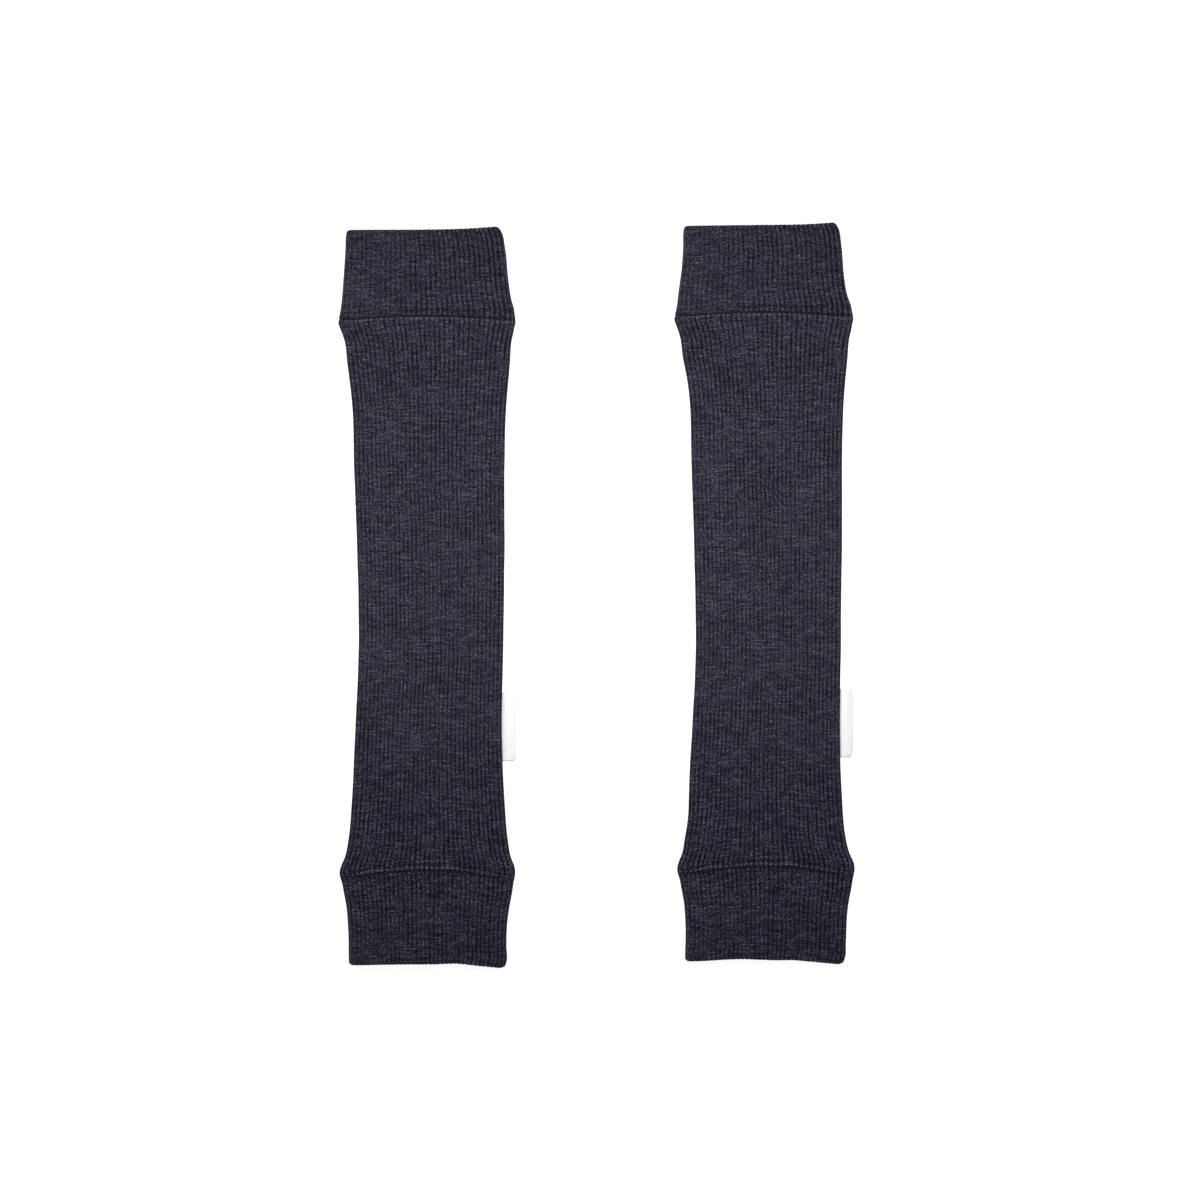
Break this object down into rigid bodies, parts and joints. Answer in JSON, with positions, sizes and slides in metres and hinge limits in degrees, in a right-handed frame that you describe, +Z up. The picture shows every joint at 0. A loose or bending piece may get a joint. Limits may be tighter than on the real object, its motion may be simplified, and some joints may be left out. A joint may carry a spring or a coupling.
{
  "type": "pair of leg warmers",
  "caption": "Small leg warmers in fine dark melange rib knit, laid flat side by side, each a tapered tube with a doubled cuff at both ends and a plain folded label in the side seam.",
  "frame": {"origin": "on the surface that the pair lies on, under the middle of the pair's box", "axes": "+Y along the legs towards the wider upper cuffs, +X from the left-hand leg warmer to the right-hand one as seen from above, +Z up from the surface"},
  "size_m": [0.2578, 0.3716, 0.0073],
  "materials": {
    "rib_knit": "matte fine wool rib knit, dark blue-grey melange",
    "label_satin": "white woven satin ribbon, soft sheen"
  },
  "bodies": {
    "root": {"left_leg_panel": "rib_knit", "left_upper_cuff": "rib_knit", "left_lower_cuff": "rib_knit", "left_label": "label_satin", "right_leg_panel": "rib_knit", "right_upper_cuff": "rib_knit", "right_lower_cuff": "rib_knit", "right_label": "label_satin"}
  },
  "joints": []
}
